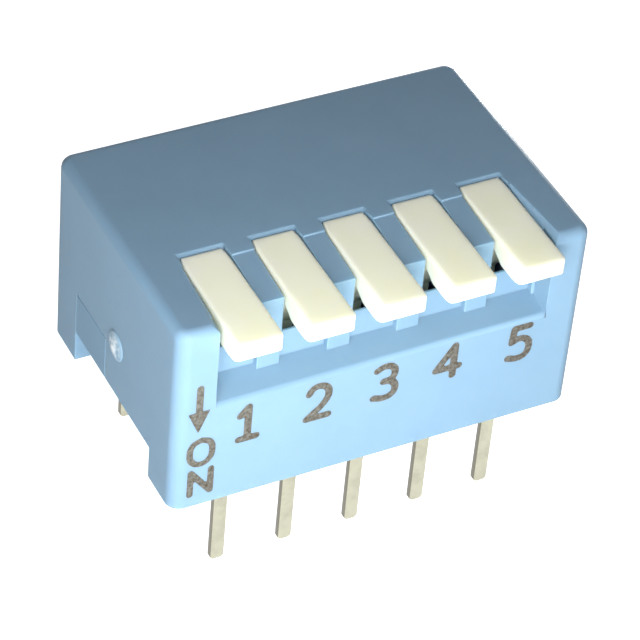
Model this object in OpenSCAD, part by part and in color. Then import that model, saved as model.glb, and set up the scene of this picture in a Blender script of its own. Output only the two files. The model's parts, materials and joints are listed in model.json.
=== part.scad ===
// Five-way piano switch for a printed circuit board.
// A moulded cover clips over a base that carries ten terminals.
// Five levers rock on trunnions held between the base and the ribs of the cover.
// X runs along the row of levers, Y to the rear, Z up from the board.

/* [Package] */
// Distance from one lever to the next
pitch = 2.54; // [2.5:0.01:2.8]
// Distance between the front and the rear row of terminals
row_gap = 7.62; // [7.4:0.02:8.4]
// From a row of terminals to the outer face of the wall beside it
row_inset = 1.165; // [1.12:0.005:1.4]
// From the last lever's share of the row to the end of the cover
end_margin = 1.1; // [1:0.05:1.6]
// Height of the top face above the board
cover_height = 7.55; // [7.45:0.05:8.2]

/* [Cover] */
// Radius of the four upright corners
corner_r = 0.5; // [0.4:0.05:0.8]
// Radius round the edge of the top face
edge_r = 0.35; // [0.2:0.05:0.4]
// Thickness of the front and rear walls
side_wall = 0.75; // [0.6:0.05:0.85]
// Thickness of the end walls
end_wall = 0.85; // [0.7:0.05:0.95]
// Thickness of the top wall
top_wall = 0.8; // [0.6:0.05:1]
// Clearance under the end walls, between the feet
end_lift = 1.28; // [1:0.02:1.5]
// Length of the front feet, from the front face
front_foot = 1.85; // [1.5:0.05:2.2]
// Length of the rear feet, from the rear face
rear_foot = 1.95; // [1.6:0.05:2.2]
// Height of the gate mark above the board
gate_z = 3.4; // [3.3:0.05:4]
// Distance from the middle of the end wall to the gate mark
gate_y = -0.25; // [-0.5:0.05:0]
// Radius of the gate mark's two round ends
gate_r = 0.3; // [0.2:0.01:0.35]
// Distance between the middles of those ends
gate_l = 0.5; // [0.3:0.05:0.7]
// How far the gate mark stands out from the wall
gate_proud = 0.1; // [0.05:0.01:0.15]
// Lean of the gate mark from upright
gate_tilt = 58; // [40:1:70]

/* [Front recess] */
// Depth of the recess, from the front face to the fronts of the ribs
recess_depth = 0.87; // [0.7:0.01:0.95]
// Height of the ledge below the levers
ledge_z = 4.5; // [4.2:0.05:4.8]
// From the wall of the last slot to the side of the recess
recess_side = 0.1; // [0.05:0.01:0.3]
// Radius of the ledge's front edge
ledge_r = 0.15; // [0.05:0.01:0.3]
// How far the panel below each lever stands back from the ribs
panel_inset = 0.25; // [0.1:0.01:0.35]
// Thickness of the panel below each lever
panel_t = 0.55; // [0.45:0.01:0.6]
// Height of the top edge of that panel
panel_top = 5.6; // [5.2:0.05:5.8]
// Width of the flat along that edge
panel_lip = 0.1; // [0.05:0.01:0.2]
// Fall of the panel's sloped back
panel_fall = 0.6; // [0.5:0.05:0.8]

/* [Slots] */
// Clearance on each side of a lever in its slot
side_gap = 0.05; // [0.04:0.01:0.1]
// From the front face to the line where the slots narrow and the ribs begin to fall
slot_step = 3.14; // [3:0.02:3.3]
// From the front face to the rear edge of the slots
slot_rear = 3.66; // [3.5:0.02:3.8]
// How much each side of a slot comes in at its rear edge
slot_taper = 0.08; // [0.05:0.01:0.2]
// Step down from the top face to the tops of the ribs
rib_step = 0.06; // [0.02:0.01:0.1]
// How much further the tops of the ribs have fallen at their fronts
rib_fall = 0.19; // [0.1:0.01:0.25]
// Width of the bevel behind each slot
bevel_w = 0.12; // [0.08:0.01:0.3]
// Depth of the bevel behind each slot
bevel_d = 0.12; // [0.05:0.01:0.2]

/* [Levers] */
// Width of a lever
lever_w = 1.62; // [1.5:0.01:1.66]
// Radius along the upper side edges of a lever
lever_edge_r = 0.1; // [0.05:0.01:0.2]
// How far the nose stands out from the front face
nose_reach = 1.14; // [0.9:0.02:1.5]
// Thickness of the nose where it is deepest
nose_depth = 0.91; // [0.8:0.01:1]
// Radius under the nose
nose_r = 0.9; // [0.8:0.01:1.2]
// Radius above the nose
nose_top_r = 0.3; // [0.2:0.01:0.35]
// Radius of the nose's corners seen from above
nose_corner_r = 0.42; // [0.2:0.01:0.5]
// From the front face back to the end of the nose's flat underside
nose_flat = 0.45; // [0.2:0.05:0.6]
// Depth of the relief under the lever, where it enters the cover
neck_relief = 0.25; // [0.1:0.01:0.3]
// From the bottom of the recess's ribs back to where the underside slopes down to the hub
hub_slope = 0.2; // [0.1:0.02:0.3]
// Drop from the top face of the cover to the top of a lever
lever_drop = 0.04; // [0.02:0.01:0.1]
// Gap between a lever's rear end and its slot
rear_gap = 0.04; // [0.03:0.01:0.1]
// Angle that a lever turns through
travel = 14; // [10:0.5:14]

/* [Pivots] */
// From the front face to the pivot line
pivot_back = 3.075; // [3:0.01:3.15]
// Height of the pivot line above the board
pivot_z = 5.0; // [4.8:0.02:5.1]
// Radius of a trunnion
trunnion_r = 0.4; // [0.3:0.01:0.42]
// Length of each trunnion beyond the side of its lever
trunnion_len = 0.28; // [0.2:0.01:0.3]
// Running clearance round a trunnion
trunnion_gap = 0.03; // [0.02:0.01:0.05]
// Radius of the round hub of a lever
hub_r = 0.62; // [0.55:0.01:0.68]
// Height above the pivot line where the hub meets the underside of the lever
hub_rise = 1.1; // [0.9:0.05:1.3]
// Height above the pivot line where the lever's rear end begins
heel_rise = 0.6; // [0.5:0.05:0.8]

/* [Base] */
// Height of the underside of the base above the board
base_bottom = 0.3; // [0.1:0.05:0.5]
// Height of the floor of the base above the board
base_top = 2.6; // [2.4:0.05:2.7]
// Clearance between the base and the front and rear walls
base_gap = 0.03; // [0.02:0.01:0.06]
// Height of the cross walls that stop a lever's tail, above the floor
stop_h = 0.75; // [0.5:0.05:0.9]
// Thickness of those cross walls
stop_t = 0.35; // [0.25:0.01:0.4]
// Clearance between a tail and a cross wall at the end of its travel
stop_gap = 0.03; // [0.02:0.01:0.05]
// Length of the latch tab in each end wall
tab_len = 2.5; // [2:0.05:2.7]
// Height of the top of that tab above the board
tab_top = 3.0; // [2.8:0.05:3.2]
// Clearance round the latch tab
tab_gap = 0.04; // [0.02:0.01:0.06]
// Reach of the latch tab's root over the floor
tab_root = 0.6; // [0.4:0.05:0.7]

/* [Terminals] */
// Width of a pin
pin_w = 0.5; // [0.4:0.01:0.6]
// Thickness of the terminal strip
strip_t = 0.25; // [0.2:0.01:0.3]
// Length of the pins below the board's upper face
pin_len = 4.0; // [3:0.05:4.4]
// Chamfer at the tip of a pin
tip_chamfer = 0.1; // [0.04:0.01:0.15]
// Width of the shoulder moulded into the base
shoulder_w = 1.2; // [1:0.05:1.4]
// Height of the shoulder
shoulder_h = 1.0; // [0.8:0.05:1.2]
// From the underside of the base to the shoulder
shoulder_lift = 0.4; // [0.3:0.05:0.6]
// Inside radius of the bend in a terminal
bend_r = 0.12; // [0.08:0.01:0.15]
// Width of a contact tongue
tongue_w = 0.5; // [0.4:0.01:0.55]
// From the middle of a position to the inner edge of a tongue
tongue_offset = 0.1; // [0.08:0.01:0.15]
// How far a front tongue runs past the pivot line
front_lap = 0.5; // [0.4:0.01:0.55]
// Distance from the pivot line to the end of a rear tongue
rear_lap = 0.05; // [0:0.01:0.1]

/* [Wipers] */
// Width of a lever's tail
tail_w = 1.0; // [0.9:0.01:1.1]
// Thickness of a lever's tail
tail_t = 0.7; // [0.6:0.01:0.76]
// Thickness of the wiper strip
wiper_t = 0.12; // [0.08:0.01:0.15]
// Width of the wiper strip, front to rear
wiper_w = 0.56; // [0.4:0.01:0.6]
// Height of a wiper's ears up the sides of the tail
ear_h = 0.7; // [0.4:0.05:0.8]
// Height of the contact ridges under a wiper
ridge_h = 0.2; // [0.15:0.01:0.22]
// Length of a contact ridge, across the tongue it rides on
ridge_l = 0.3; // [0.2:0.01:0.4]
// Gap between a ridge and the tongue it passes over
contact_gap = 0.03; // [0.02:0.01:0.05]

/* [Hidden] */
$fn = 48;
positions = 5;
cover_l = positions * pitch + 2 * end_margin;
cover_d = row_gap + 2 * row_inset;
front_y = -cover_d / 2;
rear_y = cover_d / 2;
slot_w = lever_w + 2 * side_gap;
rib_w = pitch - slot_w;
last_x = (positions - 1) / 2 * pitch;
slot_end_x = last_x + slot_w / 2;
inner_x = cover_l / 2 - end_wall;
inner_front = front_y + side_wall;
inner_rear = rear_y - side_wall;
rib_front = front_y + recess_depth;
panel_y = rib_front + panel_inset;
panel_inner = panel_y + panel_t;
step_y = front_y + slot_step;
slot_rear_y = front_y + slot_rear;
ceiling_z = cover_height - top_wall;
shelf_z = ledge_z - side_wall;
ramp_angle = atan(rib_fall / (slot_step - recess_depth));
pivot_y = front_y + pivot_back;
seat_r = trunnion_r + trunnion_gap;
lever_top = cover_height - lever_drop;
nose_bottom = lever_top - nose_depth;
nose_tip = front_y - nose_reach;
tip_y = nose_tip + nose_top_r;
tip_z = lever_top - nose_top_r;
heel_z = nose_bottom + nose_r;
heel_y = tip_y + sqrt((nose_r - nose_top_r) ^ 2 - (heel_z - tip_z) ^ 2);
neck_z = nose_bottom + neck_relief;
lever_rear = slot_rear_y - rear_gap;
tail_len = pivot_z - base_top - contact_gap - ridge_h - wiper_t;
tail_reach = tail_t / 2 * cos(travel / 2) + (tail_len + wiper_t) * sin(travel / 2);
stop_in = tail_reach + stop_gap;
stop_out = stop_in + stop_t;
tab_rear = rear_y - rear_foot;
web_rear = pivot_y + stop_out;
web_front = pivot_y - stop_out;
cover_blue = [0.55, 0.74, 0.88];
lever_cream = [0.95, 0.94, 0.85];
base_blue = [0.45, 0.62, 0.76];
tin = [0.82, 0.81, 0.74];
bronze = [0.80, 0.66, 0.42];

// Middle of a position, counted from 1 at the -X end
function position_x(k) = (k - (positions + 1) / 2) * pitch;

// Places its children at every lever
module each_position() {
  for (k = [1 : positions])
    translate([position_x(k), 0, 0])
      children();
}

// Extrudes an outline drawn in Y and Z, centred on X
module across(width) {
  rotate([90, 0, 90])
    linear_extrude(height = width, center = true)
      children();
}

// A wall outline standing on zero, with both of its top corners rounded
module round_topped(width, height, r) {
  translate([-width / 2, 0])
    square([width, height - r]);
  translate([r - width / 2, 0])
    square([width - 2 * r, height]);
  for (side = [-1, 1])
    translate([side * (width / 2 - r), height - r])
      circle(r);
}

// Block of the cover with upright corners and top edge rounded as one surface
module cover_block() {
  across(cover_l - 2 * corner_r)
    round_topped(cover_d, cover_height, edge_r);
  rotate([90, 0, 0])
    linear_extrude(height = cover_d - 2 * corner_r, center = true)
      round_topped(cover_l, cover_height, edge_r);
  for (x = [-1, 1], y = [-1, 1])
    translate([x * (cover_l / 2 - corner_r), y * (cover_d / 2 - corner_r), 0])
      rotate_extrude()
        intersection() {
          round_topped(2 * corner_r, cover_height, edge_r);
          square([corner_r, cover_height]);
        }
}

// Opening of one slot in the top, narrowed towards its rear edge
module slot_outline() {
  polygon([
    [-slot_w / 2, front_y - 1],
    [slot_w / 2, front_y - 1],
    [slot_w / 2, step_y],
    [slot_w / 2 - slot_taper, slot_rear_y],
    [slot_taper - slot_w / 2, slot_rear_y],
    [-slot_w / 2, step_y]
  ]);
}

// Space for one lever: top opening, mouth over the panel, and well down to the base
module lever_space() {
  translate([0, 0, ceiling_z - 0.1])
    linear_extrude(height = top_wall + 1)
      slot_outline();
  translate([-slot_w / 2, rib_front - 1, panel_top])
    cube([slot_w, step_y - rib_front + 1, cover_height]);
  translate([-slot_w / 2, rib_front - 1, ledge_z])
    cube([slot_w, 1 + panel_inset, cover_height]);
  across(slot_w)
    polygon([
      [panel_y + panel_lip, panel_top],
      [panel_y + panel_lip, panel_top + 1],
      [panel_inner + 0.01, panel_top + 1],
      [panel_inner + 0.01, panel_top - panel_fall]
    ]);
  translate([-slot_w / 2, panel_inner, base_top])
    cube([slot_w, web_rear - panel_inner + 0.2, ceiling_z - base_top]);
  translate([0, slot_rear_y, cover_height])
    across(slot_w - 2 * slot_taper + bevel_w)
      polygon([[-0.1, 0.1], [-0.1, -bevel_d], [0, -bevel_d], [bevel_w, 0], [bevel_w, 0.1]]);
}

// Step and fall of the rib tops, with sides that flare at 45 degrees into the end strips
module rib_ramp() {
  translate([0, step_y, cover_height - rib_step])
    rotate([90 + ramp_angle, 0, 0])
      linear_extrude(height = slot_step + 1)
        polygon([[-slot_end_x, 0], [slot_end_x, 0], [slot_end_x + 1, 1], [-slot_end_x - 1, 1]]);
}

// Recess across the front, with the ledge's edge rounded over
module front_recess() {
  across(2 * (slot_end_x + recess_side))
    difference() {
      translate([front_y - 1, ledge_z - ledge_r])
        square([recess_depth + 1, cover_height]);
      translate([front_y + ledge_r, ledge_z - ledge_r])
        circle(ledge_r);
      translate([front_y + ledge_r, ledge_z - ledge_r])
        square([recess_depth, ledge_r]);
    }
}

// Hollow inside the cover, left solid where the ribs hold the trunnions down
module cover_hollow() {
  translate([-inner_x, inner_front, -1])
    cube([2 * inner_x, inner_rear - inner_front, base_top + 1]);
  translate([-inner_x, inner_front, -1])
    cube([2 * inner_x, web_front - inner_front, shelf_z + 1]);
  translate([-inner_x, web_rear, -1])
    cube([2 * inner_x, inner_rear - web_rear, ceiling_z + 1]);
  translate([-inner_x, web_front, -1])
    cube([2 * inner_x, web_rear - web_front, pivot_z + 1]);
  translate([-inner_x, panel_inner, -1])
    cube([2 * inner_x, web_front - panel_inner, shelf_z + 1]);
}

// Round seat that one half of is in the base and the other half in the cover
module trunnion_seats() {
  translate([0, pivot_y, pivot_z])
    rotate([0, 90, 0])
      cylinder(h = 2 * last_x + slot_w + 2 * trunnion_len + 2 * side_gap, r = seat_r, center = true);
}

// Notch in each end wall for the latch tab, open below
module tab_notches() {
  for (side = [-1, 1])
    translate([side * (cover_l / 2 - end_wall / 2), tab_rear - tab_len / 2, tab_top / 2])
      cube([end_wall + 0.4, tab_len, tab_top], center = true);
}

// Gap under each end wall between the front and the rear foot
module end_gaps() {
  for (side = [-1, 1])
    translate([side * cover_l / 2, (front_y + front_foot + tab_rear) / 2, 0])
      cube([2 * end_wall, cover_d - front_foot - rear_foot, 2 * end_lift], center = true);
}

// Oval mark left by the moulding gate on an end wall
module gate_mark() {
  translate([gate_r - gate_proud - cover_l / 2, gate_y, gate_z])
    rotate([gate_tilt, 0, 0]) {
      cylinder(h = gate_l, r = gate_r, center = true);
      for (side = [-1, 1])
        translate([0, 0, side * gate_l / 2])
          sphere(gate_r);
    }
}

module cover() {
  color(cover_blue) {
    difference() {
      cover_block();
      cover_hollow();
      each_position()
        lever_space();
      rib_ramp();
      front_recess();
      trunnion_seats();
      tab_notches();
      end_gaps();
    }
    gate_mark();
  }
}

// Upright web between two levers, with the lower half of the trunnion seats
module base_web(width) {
  translate([-width / 2, web_front, base_bottom])
    cube([width, web_rear - web_front, pivot_z - base_bottom]);
}

// The two cross walls that stop a lever's tail
module tail_stops() {
  for (y = [web_front, pivot_y + stop_in])
    translate([-slot_w / 2 - 0.1, y, base_bottom])
      cube([slot_w + 0.2, stop_t, base_top - base_bottom + stop_h]);
}

module base() {
  end_web = inner_x - slot_end_x;
  color(base_blue)
    difference() {
      union() {
        translate([-inner_x, inner_front + base_gap, base_bottom])
          cube([2 * inner_x, inner_rear - inner_front - 2 * base_gap, base_top - base_bottom]);
        for (k = [1 : positions - 1])
          translate([position_x(k) + pitch / 2, 0, 0])
            base_web(rib_w);
        for (side = [-1, 1])
          translate([side * (inner_x - end_web / 2), 0, 0])
            base_web(end_web);
        each_position()
          tail_stops();
        for (side = [-1, 1])
          translate([side * (cover_l / 2 - (end_wall + tab_root) / 2), tab_rear - tab_len / 2, (end_lift + tab_top - tab_gap) / 2])
            cube([end_wall + tab_root, tab_len - 2 * tab_gap, tab_top - tab_gap - end_lift], center = true);
      }
      trunnion_seats();
      each_position() {
        front_terminal_shape();
        rear_terminal_shape();
      }
    }
}

// Side view of a lever above its tail, drawn in Y and Z
module lever_side() {
  intersection() {
    translate([heel_y, heel_z])
      circle(nose_r);
    polygon([
      [heel_y, heel_z],
      [heel_y, nose_bottom - 1],
      [heel_y - 3 * nose_r, nose_bottom - 1],
      [heel_y + 3 * (tip_y - heel_y), heel_z + 3 * (tip_z - heel_z)]
    ]);
  }
  translate([tip_y, tip_z])
    circle(nose_top_r);
  translate([tip_y, tip_z])
    square([lever_rear - tip_y, nose_top_r]);
  polygon([
    [tip_y, tip_z],
    [tip_y, lever_top],
    [heel_y, lever_top],
    [heel_y, heel_z]
  ]);
  polygon([
    [heel_y, tip_z + 0.01],
    [heel_y, nose_bottom],
    [front_y + nose_flat, nose_bottom],
    [rib_front, neck_z],
    [panel_y, neck_z],
    [pivot_y - hub_r - hub_slope, pivot_z + hub_rise],
    [pivot_y - hub_r, pivot_z],
    [pivot_y, pivot_z],
    [lever_rear, pivot_z + heel_rise],
    [lever_rear, tip_z + 0.01]
  ]);
}

// Top view of a lever, with rounded nose corners and a narrowed rear end
module lever_plan() {
  corner_x = lever_w / 2 - nose_corner_r;
  for (side = [-1, 1])
    translate([side * corner_x, nose_tip + nose_corner_r])
      circle(nose_corner_r);
  translate([-corner_x, nose_tip])
    square([2 * corner_x, nose_corner_r + 0.1]);
  polygon([
    [-lever_w / 2, nose_tip + nose_corner_r],
    [lever_w / 2, nose_tip + nose_corner_r],
    [lever_w / 2, step_y],
    [lever_w / 2 - slot_taper, slot_rear_y],
    [slot_taper - lever_w / 2, slot_rear_y],
    [-lever_w / 2, step_y]
  ]);
}

module lever(k) {
  color(lever_cream)
    translate([position_x(k), 0, 0]) {
      intersection() {
        across(lever_w)
          lever_side();
        linear_extrude(height = cover_height)
          lever_plan();
        rotate([90, 0, 0])
          linear_extrude(height = 2 * cover_d, center = true)
            round_topped(lever_w, lever_top, lever_edge_r);
      }
      translate([0, pivot_y, pivot_z]) {
        rotate([0, 90, 0])
          cylinder(h = lever_w, r = hub_r, center = true);
        rotate([0, 90, 0])
          cylinder(h = lever_w + 2 * trunnion_len, r = trunnion_r, center = true);
        rotate([-travel / 2, 0, 0])
          translate([-tail_w / 2, -tail_t / 2, -tail_len])
            cube([tail_w, tail_t, tail_len]);
      }
    }
}

// One pressed contact ridge, under a strip whose upper face lies at zero
module contact_ridge() {
  across(ridge_l)
    intersection() {
      translate([0, -wiper_t])
        circle(ridge_h);
      translate([-ridge_h, -wiper_t - ridge_h])
        square([2 * ridge_h, wiper_t + ridge_h]);
    }
}

module wiper(k) {
  color(bronze)
    translate([position_x(k), pivot_y, pivot_z])
      rotate([-travel / 2, 0, 0])
        translate([0, 0, -tail_len]) {
          translate([-tail_w / 2 - wiper_t, -wiper_w / 2, -wiper_t])
            cube([tail_w + 2 * wiper_t, wiper_w, wiper_t]);
          for (side = [-1, 1])
            translate([side * (tail_w + wiper_t) / 2, 0, (ear_h - wiper_t) / 2])
              cube([wiper_t, wiper_w, ear_h + wiper_t], center = true);
          for (side = [-1, 1])
            translate([side * (tongue_offset + tongue_w / 2), 0, 0])
              contact_ridge();
        }
}

// Upright blade of a terminal: pin with a chamfered tip, and the shoulder that locks it in the base
module terminal_blade() {
  rotate([90, 0, 0])
    linear_extrude(height = strip_t, center = true) {
      polygon([
        [tip_chamfer - pin_w / 2, -pin_len],
        [pin_w / 2 - tip_chamfer, -pin_len],
        [pin_w / 2, tip_chamfer - pin_len],
        [pin_w / 2, base_top - strip_t - bend_r],
        [-pin_w / 2, base_top - strip_t - bend_r],
        [-pin_w / 2, tip_chamfer - pin_len]
      ]);
      translate([-shoulder_w / 2, base_bottom + shoulder_lift])
        square([shoulder_w, shoulder_h]);
    }
}

// Bend and tongue of a terminal that runs from the row towards the rear by reach
module terminal_tongue(reach) {
  bend_y = strip_t / 2 + bend_r;
  across(pin_w)
    intersection() {
      difference() {
        translate([bend_y, base_top - strip_t - bend_r])
          circle(bend_r + strip_t);
        translate([bend_y, base_top - strip_t - bend_r])
          circle(bend_r);
      }
      translate([-strip_t / 2, base_top - strip_t - bend_r])
        square(bend_r + strip_t);
    }
  translate([-tongue_offset - tongue_w, bend_y, base_top - strip_t])
    cube([tongue_offset + tongue_w + pin_w / 2, strip_t * 2, strip_t]);
  translate([-tongue_offset - tongue_w, bend_y, base_top - strip_t])
    cube([tongue_w, reach - bend_y, strip_t]);
}

module front_terminal_shape() {
  translate([0, -row_gap / 2, 0]) {
    terminal_blade();
    terminal_tongue(pivot_y + front_lap + row_gap / 2);
  }
}

module rear_terminal_shape() {
  translate([0, row_gap / 2, 0])
    rotate([0, 0, 180]) {
      terminal_blade();
      terminal_tongue(row_gap / 2 - pivot_y - rear_lap);
    }
}

module front_terminal(k) {
  color(tin)
    translate([position_x(k), 0, 0])
      front_terminal_shape();
}

module rear_terminal(k) {
  color(tin)
    translate([position_x(k), 0, 0])
      rear_terminal_shape();
}

cover();
base();
lever(1);  // lever_1
lever(2);  // lever_2
lever(3);  // lever_3
lever(4);  // lever_4
lever(5);  // lever_5
wiper(1);  // wiper_1
wiper(2);  // wiper_2
wiper(3);  // wiper_3
wiper(4);  // wiper_4
wiper(5);  // wiper_5
front_terminal(1);  // front_terminal_1
front_terminal(2);  // front_terminal_2
front_terminal(3);  // front_terminal_3
front_terminal(4);  // front_terminal_4
front_terminal(5);  // front_terminal_5
rear_terminal(1);  // rear_terminal_1
rear_terminal(2);  // rear_terminal_2
rear_terminal(3);  // rear_terminal_3
rear_terminal(4);  // rear_terminal_4
rear_terminal(5);  // rear_terminal_5
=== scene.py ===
import json
import math
import bpy
import bmesh
from mathutils import Matrix, Vector

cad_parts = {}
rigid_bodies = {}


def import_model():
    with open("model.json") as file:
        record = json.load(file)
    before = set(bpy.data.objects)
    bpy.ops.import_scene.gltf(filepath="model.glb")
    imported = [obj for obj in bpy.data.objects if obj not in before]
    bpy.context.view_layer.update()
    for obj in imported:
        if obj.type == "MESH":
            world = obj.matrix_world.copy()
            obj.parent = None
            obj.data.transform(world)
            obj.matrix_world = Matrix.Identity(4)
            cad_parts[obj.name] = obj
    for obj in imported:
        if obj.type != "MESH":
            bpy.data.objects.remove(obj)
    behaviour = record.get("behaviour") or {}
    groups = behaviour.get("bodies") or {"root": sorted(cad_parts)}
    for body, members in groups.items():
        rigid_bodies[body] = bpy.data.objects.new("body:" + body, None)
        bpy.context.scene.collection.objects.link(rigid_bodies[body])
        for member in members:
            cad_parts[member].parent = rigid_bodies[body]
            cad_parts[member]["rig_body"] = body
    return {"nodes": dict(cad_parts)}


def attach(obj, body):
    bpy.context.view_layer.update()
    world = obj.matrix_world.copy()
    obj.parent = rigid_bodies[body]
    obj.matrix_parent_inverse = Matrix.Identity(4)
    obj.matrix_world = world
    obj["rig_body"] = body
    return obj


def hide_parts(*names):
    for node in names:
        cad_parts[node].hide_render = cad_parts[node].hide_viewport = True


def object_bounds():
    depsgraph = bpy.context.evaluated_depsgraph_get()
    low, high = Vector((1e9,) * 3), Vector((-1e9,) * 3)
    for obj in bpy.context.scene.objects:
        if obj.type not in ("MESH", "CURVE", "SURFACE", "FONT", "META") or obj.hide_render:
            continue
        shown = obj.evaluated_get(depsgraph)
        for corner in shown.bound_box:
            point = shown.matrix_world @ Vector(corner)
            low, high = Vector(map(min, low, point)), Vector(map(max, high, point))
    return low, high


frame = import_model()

cad_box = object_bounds()

# Terminals.
# Ten pins stamped from brass strip and plated with tin, moulded into the base in two rows.
# The dies roll the strip's edges over a little, and the plating runs in faint streaks down each pin. Their
# narrow sides are painted dark, partly the duller sheared edge and partly painted shade.
scene = bpy.context.scene
MM = 0.001
POSITIONS = (1, 2, 3, 4, 5)
PIN_EDGE = 0.03 * MM
WELD = 0.001 * MM
COPLANAR = math.radians(0.5)
SHARP = math.radians(28)
CREASED = math.radians(40)


def eased(node, name, radius, segments, reshape=None):
    """Copy of a solid, reshaped if asked, its sharp edges rounded over, that takes its place."""
    solid = frame["nodes"][node]
    form = bmesh.new()
    form.from_mesh(solid.data)
    bmesh.ops.remove_doubles(form, verts=form.verts, dist=WELD)
    bmesh.ops.dissolve_limit(form, angle_limit=COPLANAR, use_dissolve_boundaries=False,
                             verts=form.verts, edges=form.edges)
    if reshape:
        reshape(form)
    sharp_edges = [e for e in form.edges if e.calc_face_angle(0) > SHARP]
    bmesh.ops.bevel(form, geom=sharp_edges, offset=radius, offset_type="OFFSET", affect="EDGES",
                    segments=segments, profile=0.5, material=-1, clamp_overlap=False,
                    miter_outer="SHARP", miter_inner="SHARP")
    for face in form.faces:
        face.smooth = True
    mesh = bpy.data.meshes.new(name)
    form.to_mesh(mesh)
    form.free()
    mesh.set_sharp_from_angle(angle=CREASED)
    piece = bpy.data.objects.new(name, mesh)
    scene.collection.objects.link(piece)
    weighting = piece.modifiers.new("Weighted normals", "WEIGHTED_NORMAL")
    weighting.keep_sharp = True
    weighting.weight = 80
    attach(piece, solid["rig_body"])
    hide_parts(node)
    return piece


def place(tree, kind, **values):
    """Adds a shader node and sets the sockets and options that are named."""
    shader_node = tree.nodes.new(kind)
    for key, value in values.items():
        socket = shader_node.inputs.get(key.replace("_", " "))
        if socket is not None:
            socket.default_value = value
        else:
            setattr(shader_node, key, value)
    return shader_node


def effect(name, inputs, outputs):
    """Starts a shader node group with named number, colour and vector sockets."""
    kinds = {"value": "NodeSocketFloat", "colour": "NodeSocketColor", "vector": "NodeSocketVector"}
    group = bpy.data.node_groups.new(name, "ShaderNodeTree")
    for label, kind in inputs:
        group.interface.new_socket(label, in_out="INPUT", socket_type=kinds[kind])
    for label, kind in outputs:
        group.interface.new_socket(label, in_out="OUTPUT", socket_type=kinds[kind])
    return group, group.nodes.new("NodeGroupInput"), group.nodes.new("NodeGroupOutput")


def material(name, effect_group, effect_values, **finish):
    """A material whose effect group drives the Principled shader's colour, roughness and normal."""
    made = bpy.data.materials.new(name)
    made.use_nodes = True
    tree = made.node_tree
    shader = tree.nodes["Principled BSDF"]
    for label, value in finish.items():
        shader.inputs[label.replace("_", " ")].default_value = value
    group = tree.nodes.new("ShaderNodeGroup")
    group.node_tree = effect_group
    for label, value in effect_values.items():
        group.inputs[label].default_value = value
    bump = place(tree, "ShaderNodeBump", Strength=1.0, Distance=1.0)
    tree.links.new(group.outputs["Colour"], shader.inputs["Base Color"])
    tree.links.new(group.outputs["Roughness"], shader.inputs["Roughness"])
    tree.links.new(group.outputs["Height"], bump.inputs["Height"])
    tree.links.new(bump.outputs["Normal"], shader.inputs["Normal"])
    return made


def plated_strip():
    """Tin plate on stamped strip: streaks down the pin, dull patches, fine roughness, and narrow sides
    painted dark, partly sheared edge and partly painted shade.
    """
    group, given, result = effect(
        "Plated strip",
        [("Colour", "colour"), ("Dull colour", "colour"), ("Sheared colour", "colour"),
         ("Streak depth", "value")],
        [("Colour", "colour"), ("Roughness", "value"), ("Height", "value")])
    at = place(group, "ShaderNodeTexCoord")
    # The X-facing sides get the sheared colour: partly the cut edge's duller finish, partly painted shade.
    facing = place(group, "ShaderNodeSeparateXYZ")
    aside = place(group, "ShaderNodeMath", operation="ABSOLUTE")
    side_shade_mask = place(group, "ShaderNodeMapRange", From_Min=0.55, From_Max=0.85)
    side_shaded = place(group, "ShaderNodeMix", data_type="RGBA")
    stretch = place(group, "ShaderNodeMapping", Scale=(9000.0, 9000.0, 350.0))
    streaks = place(group, "ShaderNodeTexNoise", Scale=1.0, Detail=3.0, Roughness=0.6)
    patches = place(group, "ShaderNodeTexNoise", Scale=1600.0, Detail=4.0, Roughness=0.65)
    dulling = place(group, "ShaderNodeMapRange", From_Min=0.42, From_Max=0.68)
    tint = place(group, "ShaderNodeMix", data_type="RGBA")
    rough = place(group, "ShaderNodeMapRange", To_Min=0.24, To_Max=0.46)
    height = place(group, "ShaderNodeMath", operation="MULTIPLY")
    link = group.links.new
    link(at.outputs["Normal"], facing.inputs["Vector"])
    link(facing.outputs["X"], aside.inputs[0])
    link(aside.outputs["Value"], side_shade_mask.inputs["Value"])
    link(side_shade_mask.outputs["Result"], side_shaded.inputs["Factor"])
    link(at.outputs["Object"], stretch.inputs["Vector"])
    link(stretch.outputs["Vector"], streaks.inputs["Vector"])
    link(at.outputs["Object"], patches.inputs["Vector"])
    link(patches.outputs["Fac"], dulling.inputs["Value"])
    link(dulling.outputs["Result"], tint.inputs["Factor"])
    link(given.outputs["Colour"], tint.inputs["A"])
    link(given.outputs["Dull colour"], tint.inputs["B"])
    link(streaks.outputs["Fac"], rough.inputs["Value"])
    link(streaks.outputs["Fac"], height.inputs[0])
    link(given.outputs["Streak depth"], height.inputs[1])
    link(tint.outputs["Result"], side_shaded.inputs["A"])
    link(given.outputs["Sheared colour"], side_shaded.inputs["B"])
    link(side_shaded.outputs["Result"], result.inputs["Colour"])
    link(rough.outputs["Result"], result.inputs["Roughness"])
    link(height.outputs["Value"], result.inputs["Height"])
    return group


strip_finish = plated_strip()
# The pins' sheared colour, near black, is partly bare cut edge and partly painted shade on their narrow
# sides.
tin = material(
    "Tin plate", strip_finish,
    {"Colour": (0.72, 0.71, 0.56, 1), "Dull colour": (0.60, 0.59, 0.46, 1),
     "Sheared colour": (0.26, 0.25, 0.20, 1), "Streak depth": 0.004 * MM},
    Metallic=1.0)
for row in ("front", "rear"):
    for k in POSITIONS:
        pin = eased(f"{row}_terminal_{k}", f"{row}_pin_{k}", PIN_EDGE, 2)
        pin.data.materials.append(tin)

# Base.
# Moulded round the terminals in the cover's blue, with webs between the levers and a latch tab at each end.
# Only its underside, its tabs and the webs deep in the slots show, with the matt skin of a plain tool.
BASE_EDGE = 0.03 * MM


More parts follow.
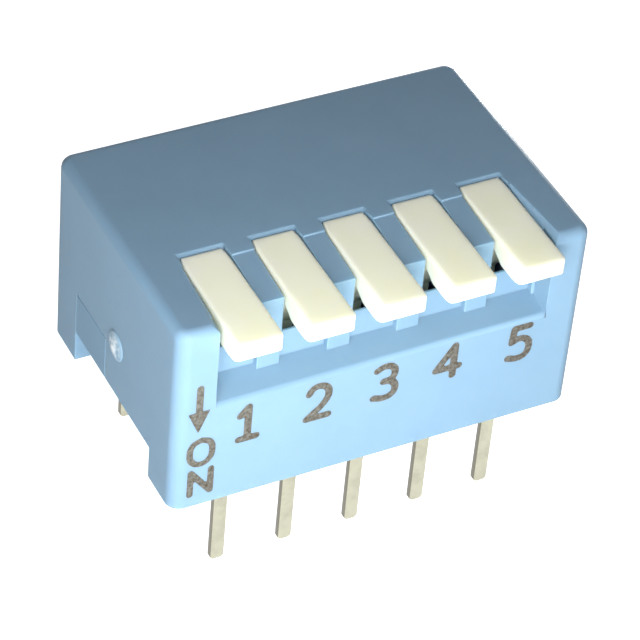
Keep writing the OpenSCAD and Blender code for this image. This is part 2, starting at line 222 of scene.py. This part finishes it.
def moulded_skin():
    """Moulded plastic: a faint cloudiness in the colour, a satin skin and the grain of the tool."""
    group, given, result = effect(
        "Moulded skin",
        [("Colour", "colour"), ("Cloud colour", "colour"), ("Cloud", "value"), ("Cloud size", "value"),
         ("Smooth", "value"), ("Rough", "value"), ("Grain depth", "value"), ("Grain size", "value")],
        [("Colour", "colour"), ("Roughness", "value"), ("Height", "value")])
    at = place(group, "ShaderNodeTexCoord")
    clouds = place(group, "ShaderNodeTexNoise", Detail=3.0, Roughness=0.55)
    spread = place(group, "ShaderNodeMapRange", From_Min=0.3, From_Max=0.7)
    fine = place(group, "ShaderNodeTexNoise", Detail=2.0, Roughness=0.5)
    amount = place(group, "ShaderNodeMath", operation="MULTIPLY")
    tint = place(group, "ShaderNodeMix", data_type="RGBA")
    rough = place(group, "ShaderNodeMix", data_type="FLOAT")
    height = place(group, "ShaderNodeMath", operation="MULTIPLY")
    link = group.links.new
    link(at.outputs["Object"], clouds.inputs["Vector"])
    link(at.outputs["Object"], fine.inputs["Vector"])
    link(given.outputs["Grain size"], fine.inputs["Scale"])
    link(given.outputs["Cloud size"], clouds.inputs["Scale"])
    link(clouds.outputs["Fac"], spread.inputs["Value"])
    link(spread.outputs["Result"], amount.inputs[0])
    link(given.outputs["Cloud"], amount.inputs[1])
    link(amount.outputs["Value"], tint.inputs["Factor"])
    link(given.outputs["Colour"], tint.inputs["A"])
    link(given.outputs["Cloud colour"], tint.inputs["B"])
    link(fine.outputs["Fac"], rough.inputs["Factor"])
    link(given.outputs["Smooth"], rough.inputs["A"])
    link(given.outputs["Rough"], rough.inputs["B"])
    link(fine.outputs["Fac"], height.inputs[0])
    link(given.outputs["Grain depth"], height.inputs[1])
    link(tint.outputs["Result"], result.inputs["Colour"])
    link(rough.outputs["Result"], result.inputs["Roughness"])
    link(height.outputs["Value"], result.inputs["Height"])
    return group


skin = moulded_skin()
base_blue = material(
    "Base moulding", skin,
    {"Colour": (0.200, 0.324, 0.444, 1), "Cloud colour": (0.222, 0.354, 0.480, 1), "Cloud": 0.5,
     "Cloud size": 420.0, "Smooth": 0.5, "Rough": 0.7, "Grain depth": 0.004 * MM, "Grain size": 16000.0},
    Specular_IOR_Level=0.18)
base = eased("base", "base_moulding", BASE_EDGE, 2)
base.data.materials.append(base_blue)

# Wipers.
# Spring bronze strip bent round each lever's tail, with two ridges that ride on the terminals.
# They work inside the housing and show only through the slots.
WIPER_EDGE = 0.015 * MM
# The contacts' sheared colour darkens their X-facing sides, partly cut edge and partly painted shade.
bronze = material(
    "Spring bronze", strip_finish,
    {"Colour": (0.62, 0.56, 0.44, 1), "Dull colour": (0.46, 0.42, 0.34, 1),
     "Sheared colour": (0.40, 0.34, 0.24, 1), "Streak depth": 0.002 * MM},
    Metallic=1.0)
for k in POSITIONS:
    wiper = eased(f"wiper_{k}", f"contact_{k}", WIPER_EDGE, 1)
    wiper.data.materials.append(bronze)

# Levers.
# Five rockers moulded in a cream plastic, snapped in between the base and the cover's ribs.
# Polished tools leave them smooth, with soft edges and the slight translucence of a pale moulding.
LEVER_GRAIN = 0.040
LEVER_SOFTENING = 8


def softened(form, name, grain, passes):
    """A piece made of a closed form, its skin remade at a grain in millimetres and smoothed."""
    bmesh.ops.scale(form, vec=(1 / MM, 1 / MM, 1 / MM), verts=form.verts)
    mesh = bpy.data.meshes.new(name)
    form.to_mesh(mesh)
    form.free()
    piece = bpy.data.objects.new(name, mesh)
    scene.collection.objects.link(piece)
    skin_over = piece.modifiers.new("Even skin", "REMESH")
    skin_over.mode = "VOXEL"
    skin_over.voxel_size = grain
    soften = piece.modifiers.new("Soft edges", "SMOOTH")
    soften.factor = 0.5
    soften.iterations = passes
    remade = bmesh.new()
    remade.from_mesh(piece.evaluated_get(bpy.context.evaluated_depsgraph_get()).data)
    bmesh.ops.scale(remade, vec=(MM, MM, MM), verts=remade.verts)
    for face in remade.faces:
        face.smooth = True
    piece.modifiers.clear()
    remade.to_mesh(mesh)
    remade.free()
    return piece


cream = material(
    "Lever moulding", skin,
    {"Colour": (0.945, 0.965, 0.72, 1), "Cloud colour": (0.965, 0.98, 0.80, 1), "Cloud": 0.7,
     "Cloud size": 900.0, "Smooth": 0.40, "Rough": 0.50, "Grain depth": 0.002 * MM, "Grain size": 14000.0},
    Specular_IOR_Level=0.8, Subsurface_Weight=0.6, Subsurface_Radius=(1.0, 1.0, 0.85),
    Subsurface_Scale=0.6 * MM)
for k in POSITIONS:
    moulding = bmesh.new()
    moulding.from_mesh(frame["nodes"][f"lever_{k}"].data)
    bmesh.ops.remove_doubles(moulding, verts=moulding.verts, dist=WELD)
    lever = softened(moulding, f"rocker_lever_{k}", LEVER_GRAIN, LEVER_SOFTENING)
    lever.data.materials.append(cream)
    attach(lever, frame["nodes"][f"lever_{k}"]["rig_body"])
    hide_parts(f"lever_{k}")

# Cover.
# One blue moulding that snaps over the base and holds the levers down with the ribs between their slots.
# Its skin is satin. The ledge under the levers falls forward a little from the ribs' fronts.
COVER_EDGE = 0.03 * MM
LEDGE_Z = 4.5 * MM
LEDGE_ROUND = 0.15 * MM
LEDGE_HALF_LENGTH = 6.4 * MM
LEDGE_BACK_Y = -3.85 * MM
RIB_FRONT_Y = -4.105 * MM
LEDGE_FALL = 0.27
cover_blue = material(
    "Cover moulding", skin,
    {"Colour": (0.200, 0.324, 0.444, 1), "Cloud colour": (0.222, 0.354, 0.480, 1), "Cloud": 0.6,
     "Cloud size": 420.0, "Smooth": 0.40, "Rough": 0.52, "Grain depth": 0.003 * MM, "Grain size": 12000.0},
    Specular_IOR_Level=0.18, Subsurface_Weight=0.5, Subsurface_Radius=(0.6, 0.9, 1.0),
    Subsurface_Scale=0.5 * MM)


def tilted_ledge(form):
    """Shears the ledge and its rounded edge about the line where the ribs' fronts stand on it."""
    slack = 0.01 * MM
    for v in form.verts:
        x, y, z = v.co
        if (abs(x) < LEDGE_HALF_LENGTH and y < LEDGE_BACK_Y
                and LEDGE_Z - LEDGE_ROUND - slack < z < LEDGE_Z + slack):
            v.co.z += LEDGE_FALL * (y - RIB_FRONT_Y)


cover = eased("cover", "housing_cover", COVER_EDGE, 2, tilted_ledge)
cover.data.materials.append(cover_blue)

# Gate scar.
# A low round blister on the left end, where the runner was twisted off the cover's gate.
# Its middle is coloured paler than the skin round it, in streaks, and glossy.
SCAR_AT = (-7.45 * MM, -0.275 * MM, 3.395 * MM)
SCAR_R = 0.56 * MM
SCAR_PROUD = 0.11 * MM
TORN_RELIEF = 0.03 * MM


def torn_skin():
    """Torn plastic: paler in streaks towards the middle, and the moulding's colour at the rim."""
    group, given, result = effect(
        "Torn skin",
        [("Colour", "colour"), ("Torn colour", "colour"), ("Middle", "vector"), ("Reach", "value")],
        [("Colour", "colour"), ("Roughness", "value"), ("Height", "value")])
    at = place(group, "ShaderNodeTexCoord")
    away = place(group, "ShaderNodeVectorMath", operation="DISTANCE")
    fade = place(group, "ShaderNodeMapRange", From_Min=0.0, To_Min=1.5, To_Max=0.0)
    streaks = place(group, "ShaderNodeTexNoise", Scale=4200.0, Detail=2.0, Roughness=0.5)
    pale_streaks = place(group, "ShaderNodeMapRange", From_Min=0.38, From_Max=0.62)
    amount = place(group, "ShaderNodeMath", operation="MULTIPLY", use_clamp=True)
    tint = place(group, "ShaderNodeMix", data_type="RGBA")
    rough = place(group, "ShaderNodeMapRange", To_Min=0.45, To_Max=0.15)
    height = place(group, "ShaderNodeMath", operation="MULTIPLY")
    height.inputs[1].default_value = TORN_RELIEF
    link = group.links.new
    link(at.outputs["Object"], away.inputs[0])
    link(given.outputs["Middle"], away.inputs[1])
    link(away.outputs["Value"], fade.inputs["Value"])
    link(given.outputs["Reach"], fade.inputs["From Max"])
    link(at.outputs["Object"], streaks.inputs["Vector"])
    link(streaks.outputs["Fac"], pale_streaks.inputs["Value"])
    link(fade.outputs["Result"], amount.inputs[0])
    link(pale_streaks.outputs["Result"], amount.inputs[1])
    link(amount.outputs["Value"], tint.inputs["Factor"])
    link(given.outputs["Colour"], tint.inputs["A"])
    link(given.outputs["Torn colour"], tint.inputs["B"])
    link(amount.outputs["Value"], rough.inputs["Value"])
    link(streaks.outputs["Fac"], height.inputs[0])
    link(tint.outputs["Result"], result.inputs["Colour"])
    link(rough.outputs["Result"], result.inputs["Roughness"])
    link(height.outputs["Value"], result.inputs["Height"])
    return group


# The scar is coloured pale in streaks towards its centre, fading to the skin's blue at the rim.
torn_plastic = material(
    "Torn moulding", torn_skin(),
    {"Colour": (0.198, 0.332, 0.452, 1), "Torn colour": (0.80, 0.90, 0.95, 1), "Middle": SCAR_AT,
     "Reach": SCAR_R})
scar_form = bmesh.new()
bmesh.ops.create_uvsphere(scar_form, u_segments=48, v_segments=24, radius=SCAR_R)
bmesh.ops.scale(scar_form, vec=(SCAR_PROUD / SCAR_R, 1, 1), verts=scar_form.verts)
bmesh.ops.translate(scar_form, vec=SCAR_AT, verts=scar_form.verts)
for face in scar_form.faces:
    face.smooth = True
scar_mesh = bpy.data.meshes.new("gate_scar")
scar_form.to_mesh(scar_mesh)
scar_form.free()
scar_mesh.materials.append(torn_plastic)
scar = bpy.data.objects.new("gate_scar", scar_mesh)
scene.collection.objects.link(scar)
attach(scar, "housing")

# Marks.
# Position numbers, a down arrow and the word ON, in round-ended strokes of grey ink on the front.
# The ink stands 0.012 mm proud of the face.
FRONT_Y = -4.975 * MM
INK_PROUD = 0.012 * MM
INK_GRAIN = 0.032
HEAD_DROP = 0.36
HEAD_R = 0.42 * MM
HEAD_STRETCH = (1.05, 1.44, 1, 1)
GLYPHS = {
    "1": [[(0.10, 0.76), (0.50, 1.0)], [(0.50, 1.0), (0.50, 0.0)], [(0.08, 0.0), (0.95, 0.0)]],
    "2": [[(0.04, 0.80), (0.22, 0.96), (0.52, 1.0), (0.84, 0.90), (0.94, 0.70), (0.80, 0.46), (0.0, 0.0)],
          [(0.0, 0.0), (0.98, 0.0)]],
    "3": [[(0.06, 0.92), (0.36, 1.0), (0.74, 0.96), (0.90, 0.77), (0.76, 0.58), (0.40, 0.53)],
          [(0.40, 0.53), (0.80, 0.47), (0.97, 0.26), (0.82, 0.06), (0.42, 0.0), (0.0, 0.06)]],
    "4": [[(0.76, 0.0), (0.76, 1.0)], [(0.76, 1.0), (0.0, 0.28)], [(0.0, 0.28), (1.0, 0.28)]],
    "5": [[(0.90, 1.0), (0.16, 1.0)], [(0.16, 1.0), (0.10, 0.56)],
          [(0.10, 0.56), (0.46, 0.64), (0.84, 0.55), (0.97, 0.31), (0.82, 0.07), (0.46, 0.0), (0.0, 0.06)]],
    "O": [[(0.5, 1.0), (0.87, 0.86), (1.0, 0.5), (0.87, 0.14), (0.5, 0.0), (0.13, 0.14), (0.0, 0.5),
           (0.13, 0.86), (0.5, 1.0)]],
    "N": [[(0.0, 0.0), (0.0, 1.0)], [(0.0, 1.0), (1.0, 0.0)], [(1.0, 0.0), (1.0, 1.0)]],
    "arrow": [[(0.5, 1.0), (0.5, 0.4)]],
}
# name, glyph, middle in X and Z, width, height and pen width, all in millimetres
MARKS = [
    ("numeral_1", "1", -4.84, 3.12, 0.72, 1.36, 0.28),
    ("numeral_2", "2", -2.30, 3.17, 0.80, 1.36, 0.28),
    ("numeral_3", "3", 0.15, 3.20, 0.80, 1.38, 0.28),
    ("numeral_4", "4", 2.46, 3.33, 0.86, 1.30, 0.28),
    ("numeral_5", "5", 5.19, 3.29, 0.78, 1.36, 0.28),
    ("letter_o", "O", -6.47, 2.37, 0.80, 1.06, 0.24),
    ("letter_n", "N", -6.43, 1.03, 0.72, 0.98, 0.24),
    ("arrow_down", "arrow", -6.62, 4.22, 0.40, 1.92, 0.26),
]


def penned(name, strokes, x, z, width, height, pen_r):
    """Strokes of a round pen, drawn flat and closed with balls at their ends."""
    line = bpy.data.curves.new(name, "CURVE")
    line.dimensions = "3D"
    line.bevel_depth = pen_r
    line.bevel_resolution = 3
    line.resolution_u = 6
    line.use_fill_caps = True
    for stroke in strokes:
        spline = line.splines.new("BEZIER")
        spline.bezier_points.add(len(stroke) - 1)
        for point, (u, v) in zip(spline.bezier_points, stroke):
            point.co = (x * MM + (u - 0.5) * width * MM, z * MM + (v - 0.5) * height * MM, 0)
            point.handle_left_type = "AUTO"
            point.handle_right_type = "AUTO"
    pen = bpy.data.objects.new(name, line)
    scene.collection.objects.link(pen)
    bpy.context.view_layer.update()
    drawn = bmesh.new()
    drawn.from_mesh(pen.to_mesh())
    pen.to_mesh_clear()
    bpy.data.objects.remove(pen)
    for stroke in strokes:
        for u, v in (stroke[0], stroke[-1]):
            spot = Matrix.Translation(
                (x * MM + (u - 0.5) * width * MM, z * MM + (v - 0.5) * height * MM, 0))
            bmesh.ops.create_uvsphere(drawn, u_segments=12, v_segments=8, radius=pen_r, matrix=spot)
    return drawn


ink = material(
    "Marking ink", skin,
    {"Colour": (0.050, 0.040, 0.026, 1), "Cloud colour": (0.155, 0.155, 0.140, 1), "Cloud": 1.0,
     "Cloud size": 8000.0, "Smooth": 0.6, "Rough": 0.8, "Grain depth": 0.002 * MM, "Grain size": 9000.0},
    Specular_IOR_Level=0.2)


def inked(name, drawn, pen_r):
    """Runs the strokes together, presses them flat against the front face and makes them a piece."""
    mark = softened(drawn, name, INK_GRAIN, 2)
    flat = Matrix.Diagonal((1, 1, INK_PROUD / pen_r, 1))
    stand = Matrix.Translation((0, FRONT_Y, 0)) @ Matrix.Rotation(math.radians(90), 4, "X")
    mark.data.transform(stand @ flat)
    mark.data.materials.append(ink)
    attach(mark, "housing")
    return mark


for name, glyph, x, z, width, height, pen_width in MARKS:
    pen_r = pen_width / 2 * MM
    drawn = penned(name, GLYPHS[glyph], x, z, width, height, pen_r)
    if glyph == "arrow":
        head = (Matrix.Translation((x * MM, (z - HEAD_DROP) * MM, 0))
                @ Matrix.Rotation(math.radians(180), 4, "Z") @ Matrix.Diagonal(HEAD_STRETCH))
        tip = bmesh.ops.create_circle(drawn, cap_ends=True, segments=3, radius=HEAD_R, matrix=head)
        face = tip["verts"][0].link_faces[0]
        raised = bmesh.ops.extrude_face_region(drawn, geom=[face])
        lifted = [v for v in raised["geom"] if isinstance(v, bmesh.types.BMVert)]
        bmesh.ops.translate(drawn, vec=(0, 0, pen_r), verts=lifted)
        bmesh.ops.recalc_face_normals(drawn, faces=drawn.faces)
    inked(name, drawn, pen_r)

# Floor, light and camera.
# A pale sheet under the pins, a broad soft lamp in front, a low fill behind and an even sky.
# The lamps aren't seen by the camera, which stands at the photograph's angle.
PIN_TIP_Z = cad_box[0][2]
FLOOR_SIZE = 0.6
SHEET_GLOW = 0.93
AMBIENT = 0.12
FRONT_LAMP_AT = (-15.79 * MM, -36.67 * MM, 15.82 * MM)
FRONT_LAMP_AIM = (0, -3.0 * MM, 5.0 * MM)
FRONT_LAMP_SIZE = 42.0 * MM
FRONT_LAMP_WATTS = 0.0460
BACK_FILL_AT = (31.82 * MM, 31.82 * MM, 2.5 * MM)
BACK_FILL_AIM = (0, 0, 4.0 * MM)
BACK_FILL_SIZE = 9.0 * MM
BACK_FILL_WATTS = 0.0170
CAMERA_AT = (-40.242 * MM, -70.963 * MM, 72.638 * MM)
CAMERA_TURN = (48.956, -4.116, -26.165)
floor_form = bmesh.new()
bmesh.ops.create_grid(floor_form, x_segments=1, y_segments=1, size=FLOOR_SIZE,
                      matrix=Matrix.Translation((0, 0, PIN_TIP_Z)))
floor_mesh = bpy.data.meshes.new("floor")
floor_form.to_mesh(floor_mesh)
floor_form.free()
floor = bpy.data.objects.new("floor", floor_mesh)
scene.collection.objects.link(floor)

paper = bpy.data.materials.new("Pale sheet")
paper.use_nodes = True
tree = paper.node_tree
tree.nodes.clear()
diffuse = place(tree, "ShaderNodeBsdfDiffuse", Color=(0.60, 0.60, 0.60, 1))
glow = place(tree, "ShaderNodeEmission", Color=(1, 1, 1, 1))
seen = place(tree, "ShaderNodeLightPath")
strength = place(tree, "ShaderNodeMath", operation="MULTIPLY")
strength.inputs[1].default_value = SHEET_GLOW
added = place(tree, "ShaderNodeAddShader")
mirrored = place(tree, "ShaderNodeMath", operation="MAXIMUM")
white = place(tree, "ShaderNodeEmission", Color=(1, 1, 1, 1), Strength=1.0)
shown = place(tree, "ShaderNodeMixShader")
out = place(tree, "ShaderNodeOutputMaterial")
tree.links.new(seen.outputs["Is Camera Ray"], strength.inputs[0])
tree.links.new(strength.outputs["Value"], glow.inputs["Strength"])
tree.links.new(diffuse.outputs["BSDF"], added.inputs[0])
tree.links.new(glow.outputs["Emission"], added.inputs[1])
tree.links.new(seen.outputs["Is Glossy Ray"], mirrored.inputs[0])
tree.links.new(seen.outputs["Is Transmission Ray"], mirrored.inputs[1])
tree.links.new(mirrored.outputs["Value"], shown.inputs[0])
tree.links.new(added.outputs["Shader"], shown.inputs[1])
tree.links.new(white.outputs["Emission"], shown.inputs[2])
tree.links.new(shown.outputs["Shader"], out.inputs["Surface"])
floor_mesh.materials.append(paper)

sky = bpy.data.worlds.new("Soft sky")
scene.world = sky
sky.use_nodes = True
tree = sky.node_tree
tree.nodes.clear()
ambient = place(tree, "ShaderNodeBackground", Color=(1, 1, 1, 1))
seen = place(tree, "ShaderNodeLightPath")
either = place(tree, "ShaderNodeMath", operation="MAXIMUM")
clear = place(tree, "ShaderNodeMath", operation="MAXIMUM")
level = place(tree, "ShaderNodeMapRange", To_Min=AMBIENT, To_Max=1.0)
out = place(tree, "ShaderNodeOutputWorld")
tree.links.new(seen.outputs["Is Camera Ray"], either.inputs[0])
tree.links.new(seen.outputs["Is Glossy Ray"], either.inputs[1])
tree.links.new(either.outputs["Value"], clear.inputs[0])
tree.links.new(seen.outputs["Is Transmission Ray"], clear.inputs[1])
tree.links.new(clear.outputs["Value"], level.inputs["Value"])
tree.links.new(level.outputs["Result"], ambient.inputs["Strength"])
tree.links.new(ambient.outputs["Background"], out.inputs["Surface"])


def softbox(name, place_at, aim, size, watts):
    """A square lamp that faces a point on the switch."""
    lamp = bpy.data.lights.new(name, "AREA")
    lamp.shape = "SQUARE"
    lamp.size = size
    lamp.energy = watts
    holder = bpy.data.objects.new(name, lamp)
    holder.location = place_at
    holder.rotation_euler = (Vector(aim) - Vector(place_at)).to_track_quat("-Z", "Y").to_euler()
    holder.visible_camera = False
    scene.collection.objects.link(holder)
    return holder


softbox("front_lamp", FRONT_LAMP_AT, FRONT_LAMP_AIM, FRONT_LAMP_SIZE, FRONT_LAMP_WATTS)
softbox("back_fill", BACK_FILL_AT, BACK_FILL_AIM, BACK_FILL_SIZE, BACK_FILL_WATTS)

lens = bpy.data.cameras.new("Camera")
lens.lens = 178.096
lens.sensor_width = 36.0
lens.clip_start = 0.001
lens.clip_end = 10.0
camera = bpy.data.objects.new("Camera", lens)
camera.location = CAMERA_AT
camera.rotation_euler = [math.radians(a) for a in CAMERA_TURN]
scene.collection.objects.link(camera)
scene.camera = camera

scene.view_settings.view_transform = "Standard"
